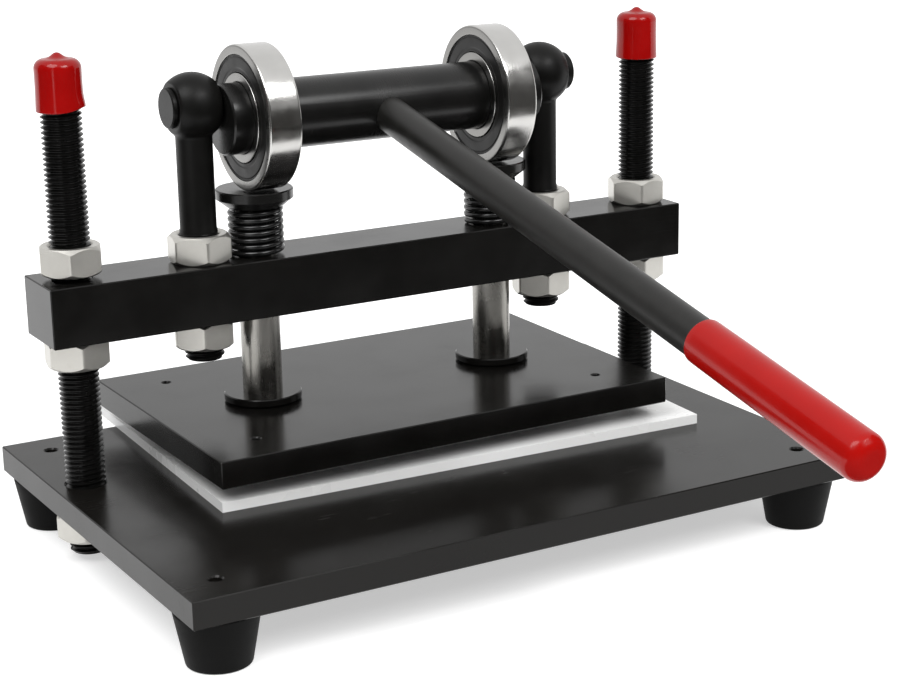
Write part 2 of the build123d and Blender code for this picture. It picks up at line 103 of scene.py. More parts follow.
# Steel grain: long fine lines along one direction over broad faint clouds. The clouds tint the
# colour and the roughness, and the lines give the height.
steel_grain, given, made = group_with(
    "steel_grain",
    [
        ("Place", "Vector", None),
        ("Tone", "Color", (0.01, 0.01, 0.01, 1)),
        ("Cloud tone", "Color", (0.02, 0.02, 0.02, 1)),
        ("Cloud size", "Float", 30.0),
        ("Line stretch", "Vector", (60.0, 2500.0, 2500.0)),
        ("Least roughness", "Float", 0.2),
        ("Most roughness", "Float", 0.3),
    ],
    [("Colour", "Color"), ("Roughness", "Float"), ("Height", "Float")],
)
clouds = shader_node(
    steel_grain,
    "TexNoise",
    {"Vector": given["Place"], "Scale": given["Cloud size"], "Detail": 4.0, "Roughness": 0.6},
)
stretched = shader_node(
    steel_grain,
    "VectorMath",
    {0: given["Place"], 1: given["Line stretch"]},
    operation="MULTIPLY",
)
lines = shader_node(
    steel_grain, "TexNoise", {"Vector": stretched.outputs["Vector"], "Scale": 1.0, "Detail": 3.0}
)
cloud_mask = shader_node(
    steel_grain,
    "MapRange",
    {"Value": clouds.outputs["Fac"], "From Min": 0.35, "From Max": 0.68},
)
tint = shader_node(
    steel_grain,
    "Mix",
    {0: cloud_mask.outputs["Result"], 6: given["Tone"], 7: given["Cloud tone"]},
    data_type="RGBA",
)
both = shader_node(
    steel_grain,
    "Math",
    {0: cloud_mask.outputs["Result"], 1: lines.outputs["Fac"]},
    operation="MULTIPLY",
)
rough = shader_node(
    steel_grain,
    "MapRange",
    {
        "Value": both.outputs["Value"],
        "From Max": 0.6,
        "To Min": given["Least roughness"],
        "To Max": given["Most roughness"],
    },
)
steel_grain.links.new(tint.outputs["Result"], made["Colour"])
steel_grain.links.new(rough.outputs["Result"], made["Roughness"])
steel_grain.links.new(lines.outputs["Fac"], made["Height"])


def coat_node(node, material):
    """Gives a CAD node its finish."""
    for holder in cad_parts[node].material_slots:
        holder.material = material


base_black = finish_material(
    "base_black",
    steel_grain,
    {
        "Tone": (0.0064, 0.0058, 0.0052, 1),
        "Cloud tone": (0.0072, 0.0066, 0.0059, 1),
        "Line stretch": (40.0, 1800.0, 1800.0),
        "Least roughness": 0.2,
        "Most roughness": 0.28,
    },
    relief=0.1,
    IOR=1.285,
)
coat_node("base_plate", base_black)


# Rubber feet
# Four tapered rubber buffers under the corners of the base plate. They are moulded, slightly
# dusty, and rounded where they meet the bench; a screw inside each pulls it up to the plate.
def turned(profile, origin, axis, sides=96):
    """Grid of a turned surface: each profile point (along, radius) is swept once round the axis.
    Point = origin + along * axis + radius * (cos(turn) * side + sin(turn) * across)."""
    profile = np.asarray(profile, float)
    axis = np.asarray(axis, float) / np.linalg.norm(axis)
    side = np.cross(axis, (0.0, 0.0, 1.0) if abs(axis[2]) < 0.9 else (0.0, 1.0, 0.0))
    side /= np.linalg.norm(side)
    across = np.cross(axis, side)
    turn = np.linspace(0, 2 * np.pi, sides + 1)
    ring = np.cos(turn)[:, None] * side + np.sin(turn)[:, None] * across
    return np.asarray(origin) + profile[:, None, :1] * axis + profile[:, None, 1:] * ring


def rounded(corners, radii, steps=6):
    """Outline with its corners rounded: at each corner the line bends along a curve that leaves
    one side and joins the next, both at the same distance from the corner."""
    corners = np.asarray(corners, float)
    outline = [corners[:1]]
    for before, corner, after, radius in zip(corners, corners[1:], corners[2:], radii[1:]):
        to_before, to_after = before - corner, after - corner
        length_before, length_after = np.linalg.norm(to_before), np.linalg.norm(to_after)
        reach = min(radius, 0.49 * length_before, 0.49 * length_after)
        start = corner + to_before / length_before * reach
        end = corner + to_after / length_after * reach
        part = np.linspace(0, 1, steps + 1)[:, None]
        curve = (1 - part) ** 2 * start + 2 * part * (1 - part) * corner + part**2 * end
        outline.append(curve if reach > 0 else corner[None])
    outline.append(corners[-1:])
    return np.concatenate(outline)


def skin(name, *grids, crease=32):
    """Mesh of point grids: each cell of a grid is one face, and points that meet are joined."""
    points, faces, first = [], [], 0
    for grid in grids:
        rows, columns = grid.shape[:2]
        corner = np.arange(rows * columns).reshape(rows, columns)[:-1, :-1].ravel() + first
        faces.append(np.stack([corner, corner + 1, corner + columns + 1, corner + columns], 1))
        points.append(grid.reshape(-1, 3))
        first += rows * columns
    mesh = bpy.data.meshes.new(name)
    mesh.from_pydata(np.concatenate(points).tolist(), [], np.concatenate(faces).tolist())
    shell = bmesh.new()
    shell.from_mesh(mesh)
    bmesh.ops.remove_doubles(shell, verts=shell.verts, dist=2e-6)
    bmesh.ops.dissolve_degenerate(shell, edges=shell.edges, dist=1e-6)
    bmesh.ops.recalc_face_normals(shell, faces=shell.faces)
    shell.to_mesh(mesh)
    shell.free()
    mesh.shade_smooth()
    mesh.set_sharp_from_angle(angle=radians(crease))
    made_piece = bpy.data.objects.new(name, mesh)
    bpy.context.scene.collection.objects.link(made_piece)
    return made_piece


def fit(made_piece, material, body, slot, *nodes):
    """Finishes a piece, makes it ride with its body and stand for its CAD nodes."""
    made_piece.data.materials.append(material)
    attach(made_piece, body)
    if nodes:
        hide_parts(*nodes)
    return made_piece


foot_rubber = finish_material(
    "foot_rubber",
    steel_grain,
    {
        "Tone": (0.0022, 0.0022, 0.0021, 1),
        "Cloud tone": (0.0036, 0.0036, 0.0035, 1),
        "Cloud size": 90.0,
        "Line stretch": (1500.0, 1500.0, 1500.0),
        "Least roughness": 0.5,
        "Most roughness": 0.62,
    },
    relief=0.35,
    IOR=1.18,
)
foot_outline = rounded(
    [(25.6, 3.2), (25.6, 19.6), (0, 14.8), (0, 7.0), (13.5, 7.0), (13.5, 3.2), (25.6, 3.2)],
    [0, 0.9, 1.2, 0.8, 0.5, 0, 0],
)
for foot in ("foot_front_left", "foot_front_right", "foot_back_left", "foot_back_right"):
    low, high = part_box(foot)
    middle = ((low.x + high.x) / 2, (low.y + high.y) / 2, 0)
    buffer = skin("rubber_" + foot, turned(foot_outline * 0.001, middle, (0, 0, 1), 72))
    fit(buffer, foot_rubber, "base", "foot_rubber", foot)


# Nuts
# Hexagon nuts in satin white zinc. They are turned off at a slant at both ends, so their corners
# end in curves, and the corners themselves are a little rounded.
nut_height, column_x, eyebolt_places = 14.0, 163.4, (-97.7, 100.5)


def hexagon_nut(x, y, bottom, turned_by):
    """Grid of a nut. Round it, the distance to the rim is that of a hexagon whose corners are
    small arcs; where a slanted cone from the end face cuts that rim, its height is the distance
    past the cone's foot times the slope. Along it run: bore, end face, cone, side and back."""
    flat, corner, cone_foot, slope, bore, bore_chamfer = 14.2, 1.8, 13.6, 0.87, 9.9, 0.9
    arc_end = 3.25
    half = np.concatenate([np.linspace(0, arc_end, 5), np.linspace(arc_end, 30, 12)[1:]])
    from_corner = np.radians(np.concatenate([-half[:0:-1], half[:-1]]))
    centre = (flat - corner) / np.cos(np.radians(30))
    on_arc = centre * np.cos(from_corner) + np.sqrt(
        np.maximum(corner**2 - (centre * np.sin(from_corner)) ** 2, 0)
    )
    on_flat = flat / np.cos(np.radians(30) - np.abs(from_corner))
    rim = np.where(np.abs(from_corner) <= np.radians(arc_end) + 1e-6, on_arc, on_flat)
    rim = np.append(np.tile(rim, 6), rim[0])
    angle = np.concatenate([from_corner + np.radians(60 * k) for k in range(6)])
    angle = np.append(angle, angle[0] + 2 * np.pi) + np.radians(turned_by)
    cut = (rim - cone_foot) * slope
    same = np.ones_like(rim)
    mouth = bore + bore_chamfer
    radius = [bore, mouth, cone_foot, rim, rim, cone_foot, mouth, bore]
    level = [bore_chamfer, 0.0, 0.0, cut]
    level += [nut_height - cut, nut_height, nut_height, nut_height - bore_chamfer]
    radius = np.stack([row * same for row in radius])
    level = np.stack([row * same for row in level])
    points = [x + radius * np.cos(angle), y + radius * np.sin(angle), bottom + level]
    return np.stack(points, 2) * 0.001


zinc_plate = finish_material(
    "zinc_plate",
    steel_grain,
    {
        "Tone": (0.50, 0.488, 0.455, 1),
        "Cloud tone": (0.58, 0.568, 0.532, 1),
        "Cloud size": 60.0,
        "Line stretch": (300.0, 300.0, 900.0),
        "Least roughness": 0.34,
        "Most roughness": 0.44,
    },
    relief=0.12,
    Metallic=0.85,
)
for node, body, places, turns in (
    ("column_base_nuts", "base", (-column_x, column_x), (2, 41)),
    ("column_lower_nuts", "beam", (-column_x, column_x), (21, 15)),
    ("column_upper_nuts", "beam", (-column_x, column_x), (11, 8)),
    ("eyebolt_lower_nuts", "beam", eyebolt_places, (9, 13)),
    ("eyebolt_upper_nuts", "beam", eyebolt_places, (22, 24)),
):
    low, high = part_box(node)
    nut_y = (low.y + high.y) * 500
    undersides = (high.z * 1000 - nut_height, low.z * 1000)
    pair = skin(
        "hexagon_" + node,
        *[
            hexagon_nut(x, nut_y, underside, turned_by)
            for x, underside, turned_by in zip(places, undersides, turns)
        ],
        crease=28,
    )
    fit(pair, zinc_plate, body, "zinc_steel", node)


# Hidden screws and washers
# Pan-head screws and washers in the feet, and countersunk screws under the plungers, in the same
# zinc.
for node in ("foot_screws", "foot_washers", "plunger_screws"):
    coat_node(node, zinc_plate)


# Columns
# Two long rods with one coarse thread from end to end, blackened and oiled. They stand in the
# base plate and are held by nuts under it.
depth_per_pitch = 0.58


def thread(x, y, bottom, top, crest, pitch, steps=40):
    """Grid of a screw thread. One parameter is the turn of the helix, the other the place within
    a pitch. Height = bottom + pitch * (turn + place) between the two ends, and radius = crest
    less the depth of a flat-crested V, under a 45-degree cone at each end."""
    place = np.array([-0.0625, 0.0625, 0.36, 0.44, 0.56, 0.64, 0.9375])
    cut = np.array([0.0, 0.0, 0.9, 1.0, 1.0, 0.9, 0.0]) * depth_per_pitch * pitch
    turn = np.arange(-steps, np.ceil((top - bottom) / pitch) * steps + steps) / steps
    height = bottom + pitch * (turn[:, None] + place)
    inner = crest - depth_per_pitch * pitch
    height = np.clip(height, bottom, top)
    radius = np.minimum(crest - cut + 0 * height, inner + np.minimum(height - bottom, top - height))
    angle = 2 * np.pi * turn[:, None] + 0 * height
    points = np.stack([x + radius * np.cos(angle), y + radius * np.sin(angle), height], 2)
    return points * 0.001


black_thread = finish_material(
    "black_thread",
    steel_grain,
    {
        "Tone": (0.0022, 0.0022, 0.0020, 1),
        "Cloud tone": (0.0040, 0.0038, 0.0036, 1),
        "Cloud size": 120.0,
        "Line stretch": (300.0, 300.0, 300.0),
        "Least roughness": 0.2,
        "Most roughness": 0.28,
    },
    relief=0.05,
    IOR=1.3,
)
low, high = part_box("column_left")
column_y, column_bottom, column_top = (low.y + high.y) * 500, low.z * 1000, high.z * 1000
crest, pitch = (high.x - low.x) * 500, 2.5
root = crest - depth_per_pitch * pitch
for side, sign in (("left", -1), ("right", 1)):
    here = (sign * column_x * 0.001, column_y * 0.001, 0)
    ends = [np.array([(z, 0), (z, root)]) * 0.001 for z in (column_bottom, column_top)]
    rod = skin(
        f"threaded_column_{side}",
        thread(sign * column_x, column_y, column_bottom, column_top, crest, pitch),
        *[turned(end, here, (0, 0, 1), 40) for end in ends],
        crease=40,
    )
    fit(rod, black_thread, "base", "black_thread", f"column_{side}")


# Caps
# Dipped red vinyl sleeves pushed over the column ends. They are soft and glossy, with a small
# nipple where they dripped and an uneven lip that stands off the thread.
def sleeve(x, y, bottom, seed):
    """Grid of a cap: a lathed dome whose radius swells by a wave round it. On one side the lip
    rises and stands off by a bump that fades with the turn and with height."""
    skirt = rounded(
        [(1.6, 9.95), (0.1, 10.2), (0.0, 11.3), (3.0, 11.2), (12.0, 10.95), (20.0, 11.0)],
        [0, 0.5, 1.6, 3.0, 6.0, 0],
    )
    bend = np.linspace(0, np.pi / 2, 13)[1:]
    shoulder, crown_radius, rise, spread_out = 20.0, 6.4, 4.7, 4.6
    dome = np.stack([shoulder + rise * np.sin(bend), crown_radius + spread_out * np.cos(bend)], 1)
    nipple = [(24.95, 5.2), (25.35, 4.0), (26.0, 2.9), (26.8, 1.9), (27.3, 1.0), (27.5, 0.0)]
    outline = np.concatenate([skirt, dome, nipple])
    points = turned(outline, (x, y, bottom), (0, 0, 1), 96)
    turn = np.linspace(0, 2 * np.pi, 97)
    along = (points[:, :, 2] - bottom) / outline[-1, 0]
    fade = np.clip(1 - along * 3.2, 0, 1)
    lip = fade**2 * (3 - 2 * fade)
    bump = np.exp(-(((turn - seed + np.pi) % (2 * np.pi) - np.pi) ** 2) / 0.5)
    swell = 0.08 * np.sin(2 * turn + seed) * np.clip(1 - along, 0, 1) + 0.7 * lip * bump
    spread = points[:, :, :2] - (x, y)
    length = np.maximum(np.linalg.norm(spread, axis=2, keepdims=True), 1e-6)
    points[:, :, :2] += spread / length * (swell * np.minimum(length[:, :, 0] / 9, 1))[:, :, None]
    points[:, :, 2] += 2.0 * lip * bump
    return points * 0.001


cap_vinyl = finish_material(
    "cap_vinyl",
    steel_grain,
    {
        "Tone": (0.25, 0.0010, 0.0008, 1),
        "Cloud tone": (0.29, 0.0014, 0.0011, 1),
        "Cloud size": 60.0,
        "Line stretch": (90.0, 90.0, 90.0),
        "Least roughness": 0.12,
        "Most roughness": 0.18,
    },
    relief=0.12,
    IOR=1.36,
)
cap_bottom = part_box("cap_left")[0].z * 1000
for side, sign, seed in (("left", -1, 2.4), ("right", 1, 4.9)):
    cap = skin(f"vinyl_cap_{side}", sleeve(sign * column_x, column_y, cap_bottom, seed), crease=60)
    fit(cap, cap_vinyl, "base", "red_vinyl", f"cap_{side}")


# Crossbeam
# Square-edged steel bar, blackened like the plates, bored for columns, eyebolts and rods.
plate_black = finish_material(
    "plate_black",
    steel_grain,
    {
        "Tone": (0.0035, 0.0033, 0.0030, 1),
        "Cloud tone": (0.0060, 0.0057, 0.0052, 1),
        "Line stretch": (40.0, 1800.0, 1800.0),
        "Least roughness": 0.16,
        "Most roughness": 0.25,
    },
    relief=0.1,
    IOR=1.32,
)
coat_node("crossbeam", plate_black)


# Eyebolts
# Forged bolts with a ball head that is flattened on two sides for the pin. The shank is plain
# where it shows, and the tail is threaded for a nut above the beam and one below it.
eyebolt_black = finish_material(
    "eyebolt_black",
    steel_grain,
    {
        "Tone": (0.0026, 0.0025, 0.0023, 1),
        "Cloud tone": (0.0046, 0.0044, 0.0040, 1),
        "Cloud size": 50.0,
        "Line stretch": (500.0, 500.0, 500.0),
        "Least roughness": 0.36,
        "Most roughness": 0.46,
    },
    relief=0.2,
    IOR=1.25,
)
low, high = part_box("cam_pin_left")
pin_z = (low.z + high.z) * 500
thread_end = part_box("crossbeam")[1].z * 1000 + 16.0
shank, neck = 9.0, 3.0
for side in ("left", "right"):
    low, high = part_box(f"eyebolt_{side}")
    x, tail_end = (low.x + high.x) * 500, low.z * 1000
    ball, half_width = (high.y - low.y) * 500, (high.x - low.x) * 500
    rim_turn = np.arccos(half_width / ball) + 0.03
    rim_radius = ball * np.sin(rim_turn - 0.03)
    ball_turn = np.linspace(rim_turn, np.pi - rim_turn, 33)
    ball_outline = np.concatenate(
        [
            [(half_width, 0), (half_width, rim_radius - 0.7), (half_width - 0.05, rim_radius - 0.35)],
            np.stack([ball * np.cos(ball_turn), ball * np.sin(ball_turn)], 1),
            [(0.05 - half_width, rim_radius - 0.35), (-half_width, rim_radius - 0.7), (-half_width, 0)],
        ]
    )
    neck_rise = np.sqrt((ball + neck) ** 2 - (shank + neck) ** 2)
    neck_turn = np.linspace(np.pi, np.pi - np.arctan2(neck_rise, shank + neck), 9)
    neck_z = pin_z - neck_rise
    shank_outline = np.concatenate(
        [
            [(thread_end - 7, 0), (thread_end - 7, shank + 0.2), (thread_end, shank + 0.35)],
            [(thread_end + 0.8, shank), (neck_z - 6, shank)],
            np.stack([neck_z + neck * np.sin(neck_turn), shank + neck + neck * np.cos(neck_turn)], 1),
            [(pin_z - 10, shank + neck - 0.8), (pin_z - 10, 0)],
        ]
    )
    here = (x * 0.001, column_y * 0.001, 0)
    bolt = skin(
        f"ball_eyebolt_{side}",
        turned(ball_outline * 0.001, (x * 0.001, column_y * 0.001, pin_z * 0.001), (1, 0, 0)),
        turned(shank_outline * 0.001, here, (0, 0, 1), 72),
        turned(np.array([(tail_end, 0), (tail_end, root)]) * 0.001, here, (0, 0, 1), 40),
        thread(x, column_y, tail_end, thread_end, crest, pitch),
        crease=35,
    )
    fit(bolt, eyebolt_black, "beam", "dark_eyebolt", f"eyebolt_{side}")


# Eccentric shaft and its pins
# Turned steel bar, blackened, with a headed pin pressed off-centre into each end. Turning has
# left faint rings on it.
shaft_black = finish_material(
    "shaft_black",
    steel_grain,
    {
        "Tone": (0.0045, 0.0044, 0.0042, 1),
        "Cloud tone": (0.0075, 0.0072, 0.0068, 1),
        "Cloud size": 45.0,
        "Line stretch": (2200.0, 90.0, 90.0),
        "Least roughness": 0.22,
        "Most roughness": 0.3,
    },
    relief=0.12,
    IOR=1.4,
)
coat_node("cam_shaft", shaft_black)
for node in ("cam_pin_left", "cam_pin_right"):
    coat_node(node, eyebolt_black)


# Lever
# Hot-rolled round bar with a dull charcoal skin, pushed into the side of the shaft.
lever_charcoal = finish_material(
    "lever_charcoal",
    steel_grain,
    {
        "Tone": (0.0080, 0.0076, 0.0068, 1),
        "Cloud tone": (0.0120, 0.0115, 0.0104, 1),
        "Cloud size": 120.0,
        "Line stretch": (900.0, 900.0, 900.0),
        "Least roughness": 0.36,
        "Most roughness": 0.45,
    },
    relief=0.4,
    IOR=1.36,
)
coat_node("lever", lever_charcoal)


# Grip
# Soft red sleeve slipped over the lever's end. It is moulded with a satin skin, widens a
# little towards its rounded end, and stretches to a thin rim where the bar goes in.
grip_red = finish_material(
    "grip_red",
    steel_grain,
    {
        "Tone": (0.325, 0.0026, 0.0014, 1),
        "Cloud tone": (0.35, 0.0034, 0.0020, 1),
        "Cloud size": 50.0,
        "Line stretch": (150.0, 150.0, 150.0),
        "Least roughness": 0.18,
        "Most roughness": 0.24,
    },
    relief=0.06,
    IOR=1.33,
)
lever_axis = np.array([0.0, -cos(radians(11.9)), -sin(radians(11.9))])
low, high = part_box("cam_shaft")
shaft_middle = np.array([0.0, (low.y + high.y) / 2, (low.z + high.z) / 2])
end_turn = np.linspace(0, np.pi / 2, 15)
bend_start, bend_middle, bend_radius, grip_end = 389.2, 3.8, 6.5, 395.75
grip_outline = np.concatenate(
    [
        rounded(
            [(288.0, 9.02), (287.4, 9.3), (287.6, 10.0), (290, 10.1), (330, 10.2), (bend_start, 10.3)],
            [0, 0.3, 0.4, 1.0, 20, 0],
        )[:-1],
        np.stack(
            [
                bend_start + bend_radius * np.sin(end_turn),
                bend_middle + bend_radius * np.cos(end_turn),
            ],
            1,
        ),
        [(grip_end, 0)],
    ]
)
grip = skin("soft_grip", turned(grip_outline * 0.001, shaft_middle, lever_axis, 96), crease=50)
fit(grip, grip_red, "camshaft", "red_grip", "lever_grip")


# Ball bearings
# Deep-groove bearings on the shaft, with ground steel rings and a black rubber seal in each
# side. Grinding leaves faint rings round them; the flat faces are rougher, and darker as painted shade.
ring_marks, given, made = group_with(
    "ring_marks",
    [
        ("Place", "Vector", None),
        ("Axis height", "Float", shaft_middle[2]),
        ("Axis depth", "Float", shaft_middle[1]),
        ("Tone", "Color", (0.6, 0.6, 0.6, 1)),
        ("Cloud tone", "Color", (0.7, 0.7, 0.7, 1)),
        ("Ring rate", "Float", 4000.0),
        ("Least roughness", "Float", 0.1),
        ("Most roughness", "Float", 0.2),
    ],
    [("Colour", "Color"), ("Roughness", "Float"), ("Height", "Float")],
)
axis_point = shader_node(
    ring_marks, "CombineXYZ", {"Y": given["Axis depth"], "Z": given["Axis height"]}
)
from_axis = shader_node(
    ring_marks, "VectorMath", {0: given["Place"], 1: axis_point.outputs["Vector"]}, operation="SUBTRACT"
)
apart = shader_node(ring_marks, "SeparateXYZ", {"Vector": from_axis.outputs["Vector"]})
flat = shader_node(ring_marks, "CombineXYZ", {"Y": apart.outputs["Y"], "Z": apart.outputs["Z"]})
reach = shader_node(ring_marks, "VectorMath", {0: flat.outputs["Vector"]}, operation="LENGTH")
band = shader_node(ring_marks, "CombineXYZ", {"X": reach.outputs["Value"], "Y": apart.outputs["X"]})
grooves = shader_node(
    ring_marks,
    "TexNoise",
    {"Vector": band.outputs["Vector"], "Scale": given["Ring rate"], "Detail": 2.0},
)
smears = shader_node(ring_marks, "TexNoise", {"Vector": given["Place"], "Scale": 120.0, "Detail": 3.0})
tint = shader_node(
    ring_marks,
    "Mix",
    {0: smears.outputs["Fac"], 6: given["Tone"], 7: given["Cloud tone"]},
    data_type="RGBA",
)
rough = shader_node(
    ring_marks,
    "MapRange",
    {
        "Value": smears.outputs["Fac"],
        "From Min": 0.3,
        "From Max": 0.7,
        "To Min": given["Least roughness"],
        "To Max": given["Most roughness"],
    },
)
ring_marks.links.new(tint.outputs["Result"], made["Colour"])
ring_marks.links.new(rough.outputs["Result"], made["Roughness"])
ring_marks.links.new(grooves.outputs["Fac"], made["Height"])

bearing_steel = finish_material(
    "bearing_steel",
    ring_marks,
    {
        "Tone": (0.52, 0.513, 0.498, 1),
        "Cloud tone": (0.60, 0.593, 0.578, 1),
        "Ring rate": 1500.0,
        "Least roughness": 0.15,
        "Most roughness": 0.23,
    },
    relief=0.3,
    Metallic=1.0,
)
seal_rubber = finish_material(
    "seal_rubber",
    ring_marks,
    {
        "Tone": (0.0060, 0.0057, 0.0054, 1),
        "Cloud tone": (0.0090, 0.0086, 0.0082, 1),
        "Ring rate": 900.0,
        "Least roughness": 0.34,
        "Most roughness": 0.46,
    },
    relief=0.25,
    IOR=1.26,
)
# Darker copy of the ring steel for the flat faces: the rougher finish is real, the darker colour is painted
# shade.
bearing_face_painted_shade = finish_material(
    "bearing_face_painted_shade",
    ring_marks,
    {
        "Tone": (0.19, 0.186, 0.179, 1),
        "Cloud tone": (0.24, 0.236, 0.228, 1),
        "Ring rate": 1500.0,
        "Least roughness": 0.24,
        "Most roughness": 0.34,
    },
    relief=0.3,
    Metallic=1.0,
)
outer_outline = rounded(
    [(0, 30.3), (6.8, 30.3), (6.8, 31.15), (8.5, 31.15), (8.5, 36.0), (0, 36.0)],
    [0, 0, 0, 0.35, 1.5, 0],
    8,
)
outer_outline = np.concatenate([outer_outline, (outer_outline * (-1, 1))[::-1]])
inner_outline = rounded(
    [(0, 21.2), (5.5, 21.2), (5.9, 22.0), (8.5, 22.0), (8.5, 17.5), (0, 17.5)],
    [0, 0.4, 0.3, 0.4, 1.0, 0],
)
inner_outline = np.concatenate([inner_outline, (inner_outline * (-1, 1))[::-1]])
seal_lip = [(7.0, 22.3), (7.85, 22.35), (7.95, 23.0), (7.8, 23.5), (7.8, 24.3)]
seal_web = [(8.0, 24.8), (8.0, 29.6)]
seal_rim = [(7.7, 29.9), (7.7, 30.3), (8.0, 30.5), (7.9, 31.1), (7.0, 31.1), (7.0, 22.3)]
seal_outline = rounded(
    seal_lip + seal_web + seal_rim,
    [0, 0.3, 0.3, 0.25, 0.25, 0.3, 0.3, 0.2, 0.2, 0.3, 0.2, 0, 0],
    4,
)
face_slant = 0.9
for side, sign in (("left", -1), ("right", 1)):
    low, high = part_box(f"bearing_{side}_outer_ring")
    middle = np.array([(low.x + high.x) / 2, shaft_middle[1], shaft_middle[2]])
    for piece_name, outline, body, node in (
        ("outer_race", outer_outline, f"bearing_{side}", f"bearing_{side}_outer_ring"),
        ("inner_race", inner_outline, "camshaft", f"bearing_{side}_inner_ring"),
    ):
        race = skin(f"{piece_name}_{side}", turned(outline * 0.001, middle, (1, 0, 0), 144))
        fit(race, bearing_steel, body, "bearing_steel", node)
        race.data.materials.append(bearing_face_painted_shade)
        # Faces square to the axis take the darker copy, which is painted shade.
        for polygon in race.data.polygons:
            polygon.material_index = int(abs(polygon.normal.x) > face_slant)
    for place, facing in (("outboard", sign), ("inboard", -sign)):
        lip = skin(
            f"rubber_seal_{side}_{place}",
            turned(seal_outline * 0.001, middle, (facing, 0, 0), 144),
        )
        fit(lip, seal_rubber, f"bearing_{side}", "seal_rubber", f"bearing_{side}_seal_{place}")
    coat_node(f"bearing_{side}_balls", bearing_steel)
    coat_node(f"bearing_{side}_cage", zinc_plate)


# Plungers
# Ground and chromed rods that run down through the beam. Each stands in a black collar on the
# plate and carries a black mushroom head under its bearing.
rod_chrome = finish_material(
    "rod_chrome",
    steel_grain,
    {
        "Tone": (0.25, 0.243, 0.225, 1),
        "Cloud tone": (0.34, 0.33, 0.31, 1),
        "Cloud size": 40.0,
        "Line stretch": (2500.0, 2500.0, 40.0),
        "Least roughness": 0.22,
        "Most roughness": 0.34,
    },
    relief=0.4,
    Metallic=1.0,
)
head_black = finish_material(
    "head_black",
    steel_grain,
    {
        "Tone": (0.0045, 0.0045, 0.0042, 1),
        "Cloud tone": (0.008, 0.0078, 0.0074, 1),
        "Cloud size": 70.0,
        "Line stretch": (500.0, 500.0, 500.0),
        "Least roughness": 0.2,
        "Most roughness": 0.28,
    },
    relief=0.2,
    IOR=1.4,
)
for side in ("left", "right"):
    coat_node(f"plunger_rod_{side}", rod_chrome)
    coat_node(f"plunger_head_{side}", head_black)
    coat_node(f"plunger_collar_{side}", plate_black)


# Springs
# Round black wire wound between the beam and the plunger heads. On the press they shorten as the
# plate goes down; here they are built in one pose.
def coil(x, y, bottom, top, radius, wire, turns, start):
    """Grid of a wound wire: its middle is a helix that begins at the start angle, and round it a
    circle of the wire's radius stands square to the helix. Both ends close to a point."""
    turn = 2 * np.pi * np.linspace(0, turns, int(turns * 40) + 1)
    rise = (top - bottom) / (2 * np.pi * turns)
    angle = turn + np.radians(start)
    middle = np.stack([x + radius * np.cos(angle), y + radius * np.sin(angle), bottom + rise * turn], 1)
    out = np.stack([np.cos(angle), np.sin(angle), 0 * turn], 1)
    along = np.stack([-radius * np.sin(angle), radius * np.cos(angle), rise + 0 * turn], 1)
    along /= np.linalg.norm(along, axis=1, keepdims=True)
    up = np.cross(along, out)
    round_wire = np.linspace(0, 2 * np.pi, 17)
    around = wire * (
        np.cos(round_wire)[:, None] * out[:, None, :] + np.sin(round_wire)[:, None] * up[:, None, :]
    )
    tube = middle[:, None, :] + around
    ends = [np.repeat(middle[i][None, None], 17, 1) for i in (0, -1)]
    return np.concatenate([ends[0], tube, ends[1]]) * 0.001


spring_black = finish_material(
    "spring_black",
    steel_grain,
    {
        "Tone": (0.004, 0.004, 0.004, 1),
        "Cloud tone": (0.008, 0.008, 0.008, 1),
        "Cloud size": 200.0,
        "Line stretch": (600.0, 600.0, 600.0),
        "Least roughness": 0.14,
        "Most roughness": 0.26,
    },
    relief=0.15,
    IOR=1.5,
)
coil_radius, wire_radius, coil_turns, first_angle, blend_margin = 12.6, 1.4, 6.5, 165, 0.0005
for side in ("left", "right"):
    low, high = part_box(f"plunger_head_{side}")
    x = (low.x + high.x) * 500
    wire_low, wire_high = [corner.z * 1000 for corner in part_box(f"spring_{side}")]
    wire_span = (wire_low + wire_radius, wire_high - wire_radius)
    spring = skin(
        f"wound_spring_{side}",
        coil(x, column_y, *wire_span, coil_radius, wire_radius, coil_turns, first_angle),
        crease=50,
    )
    spring.data.materials.append(spring_black)
    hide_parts(f"spring_{side}")
    foot = (x * 0.001, column_y * 0.001, wire_low * 0.001 + blend_margin)
    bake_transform(spring)


# Pressure plate
# Ground and blackened steel plate, with a small tapped hole near each corner.
coat_node("pressure_plate", plate_black)


# Cutting board
# White plastic board that the knife cuts into. It lies loose on the base plate, a little askew,
# with a slight sheen and faint marks.
board_white = finish_material(
    "board_white",
    steel_grain,
    {
        "Tone": (0.88, 0.88, 0.87, 1),
        "Cloud tone": (0.90, 0.90, 0.895, 1),
        "Cloud size": 12.0,
        "Line stretch": (60.0, 60.0, 60.0),
        "Least roughness": 0.26,
        "Most roughness": 0.32,
    },
    relief=0.03,
    IOR=1.5,
)
coat_node("cutting_board", board_white)


# Floor and backdrop
# A plain white bench that runs off into white. It shows white to the camera and in gloss, and
# it keeps the shadow of the press.
floor_mesh = bpy.data.meshes.new("bench")
floor_mesh.from_pydata(
    [(-9, -9, -0.0002), (9, -9, -0.0002), (9, 9, -0.0002), (-9, 9, -0.0002)], [], [(0, 1, 2, 3)]
)
bench = bpy.data.objects.new("bench", floor_mesh)
bpy.context.scene.collection.objects.link(bench)
bench_white = bpy.data.materials.new("bench_white")
bench_white.use_nodes = True
tree = bench_white.node_tree
surface = tree.nodes["Principled BSDF"]
surface.inputs["Base Color"].default_value = (0.8, 0.8, 0.8, 1)
surface.inputs["Roughness"].default_value = 0.9
surface.inputs["Specular IOR Level"].default_value = 0.0
rays = shader_node(tree, "LightPath")
seen = shader_node(
    tree, "Math", {0: rays.outputs["Is Camera Ray"], 1: rays.outputs["Is Glossy Ray"]}, operation="MAXIMUM"
)
seen = shader_node(
    tree, "Math", {0: seen.outputs["Value"], 1: rays.outputs["Is Transmission Ray"]}, operation="MAXIMUM"
)
place = shader_node(tree, "TexCoord").outputs["Object"]
